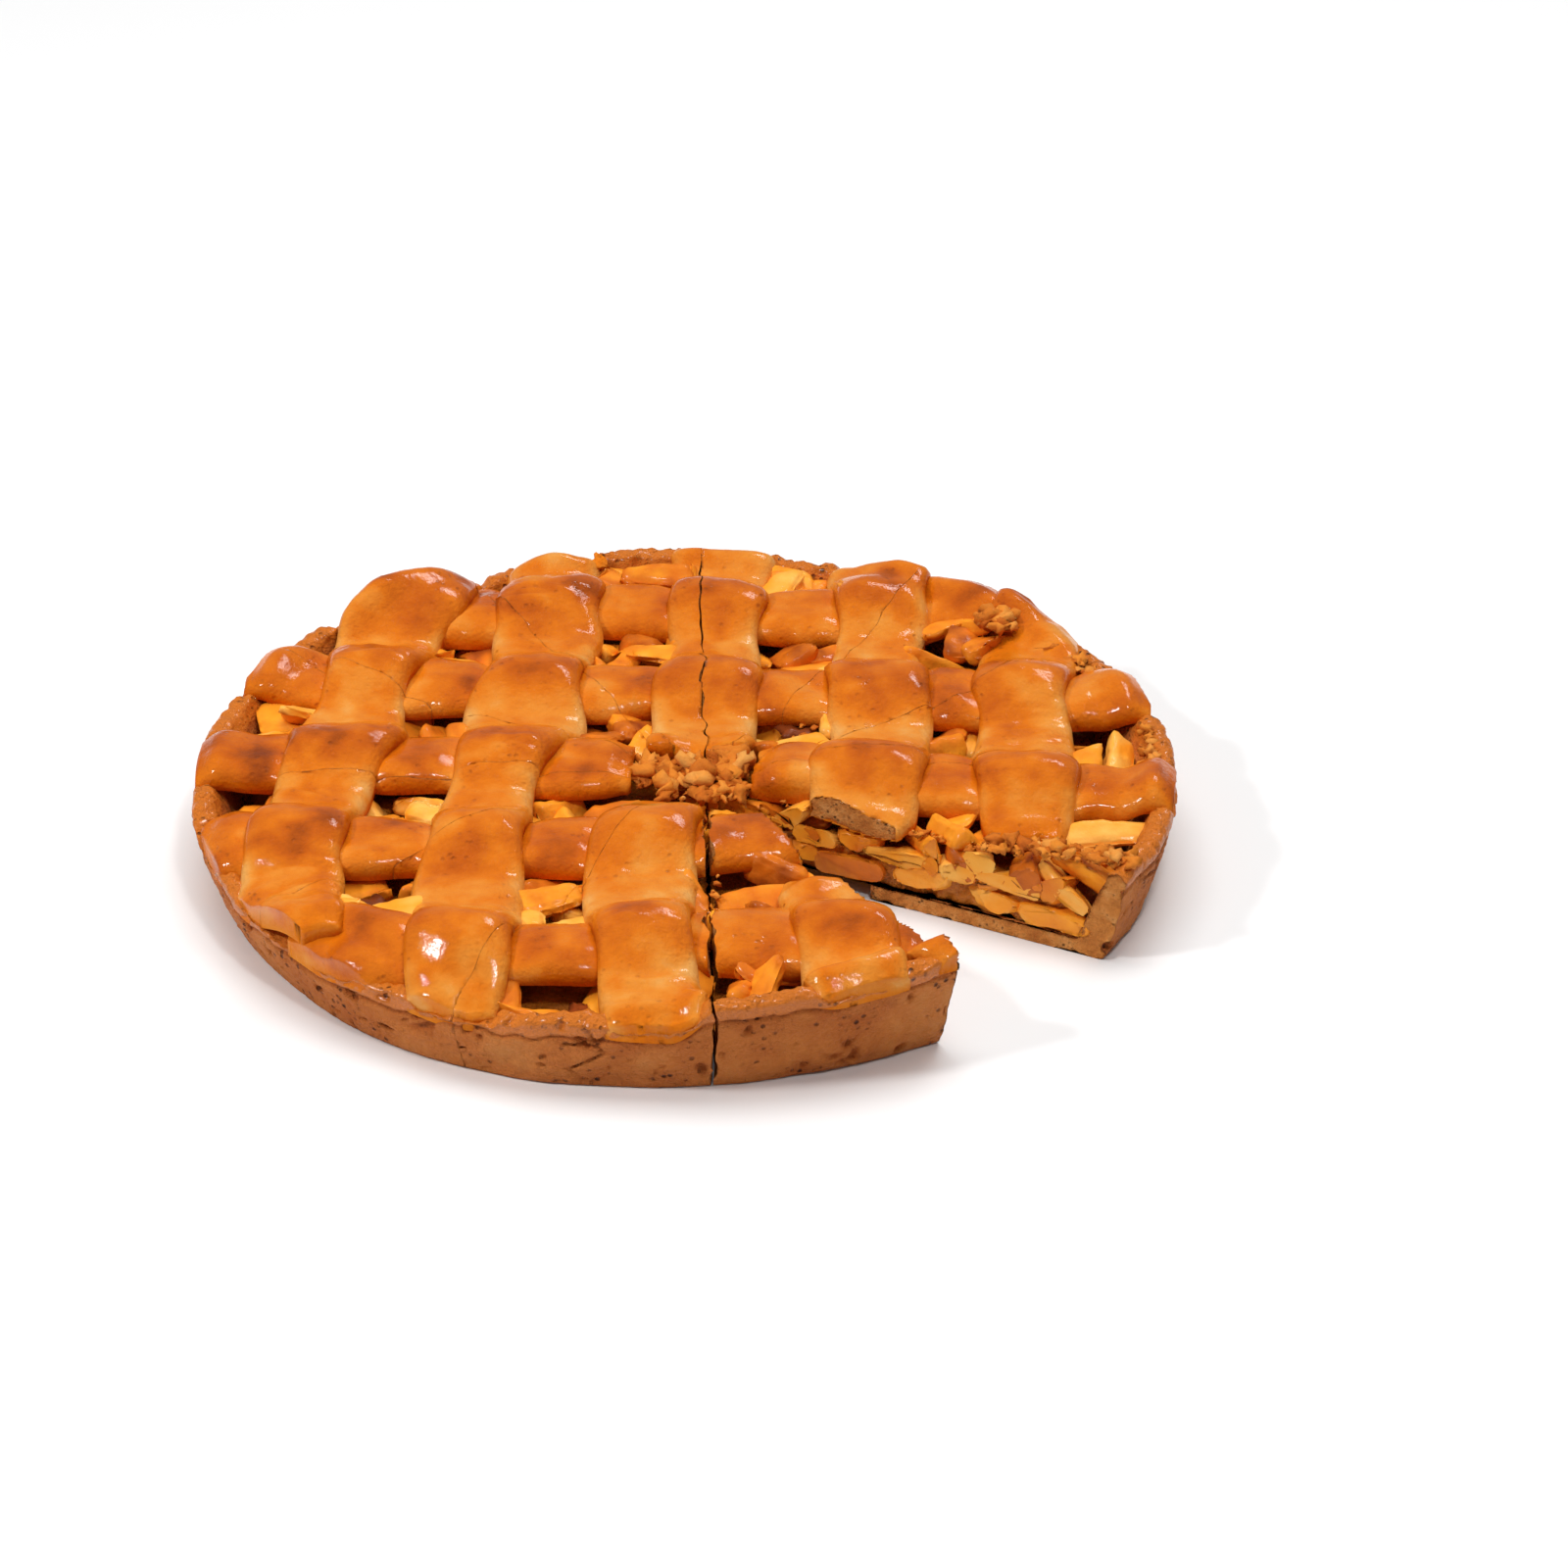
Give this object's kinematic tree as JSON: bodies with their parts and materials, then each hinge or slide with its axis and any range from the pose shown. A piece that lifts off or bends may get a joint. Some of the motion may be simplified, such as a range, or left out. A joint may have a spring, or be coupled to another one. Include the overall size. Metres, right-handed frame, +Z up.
{
  "type": "apple pie",
  "caption": "Round flat apple pie with a glazed pastry lattice, cut into slices right through, with one slice taken out so that the gap shows the cut crust and apple filling",
  "frame": {"origin": "middle of the round base, on the surface that the pie stands on", "axes": "+Z up through the pie, +Y along the upper strips of the lattice, +X along the lower strips, and the open gap lies between +X and -Y"},
  "size_m": [0.28, 0.28, 0.0395],
  "materials": {
    "baked_pastry": "matt baked shortcrust, brown outside and pale crumb where cut",
    "glazed_pastry": "egg-washed golden brown pastry with a thin clear glaze, paler in the folds",
    "apple_filling": "moist cooked apple pieces in a dark sticky filling"
  },
  "bodies": {
    "root": {"crust_01": "baked_pastry", "crust_02": "baked_pastry", "crust_03": "baked_pastry", "crust_04": "baked_pastry", "crust_05": "baked_pastry", "crust_06": "baked_pastry", "crust_07": "baked_pastry", "crust_08": "baked_pastry", "crust_09": "baked_pastry", "crust_10": "baked_pastry", "crust_11": "baked_pastry", "filling_01": "apple_filling", "filling_02": "apple_filling", "filling_03": "apple_filling", "filling_04": "apple_filling", "filling_05": "apple_filling", "filling_06": "apple_filling", "filling_07": "apple_filling", "filling_08": "apple_filling", "filling_09": "apple_filling", "filling_10": "apple_filling", "filling_11": "apple_filling", "lattice_01": "glazed_pastry", "lattice_02": "glazed_pastry", "lattice_03": "glazed_pastry", "lattice_04": "glazed_pastry", "lattice_05": "glazed_pastry", "lattice_06": "glazed_pastry", "lattice_07": "glazed_pastry", "lattice_08": "glazed_pastry", "lattice_09a": "glazed_pastry", "lattice_09b": "glazed_pastry", "lattice_10": "glazed_pastry", "lattice_11a": "glazed_pastry", "lattice_11b": "glazed_pastry"}
  },
  "joints": []
}
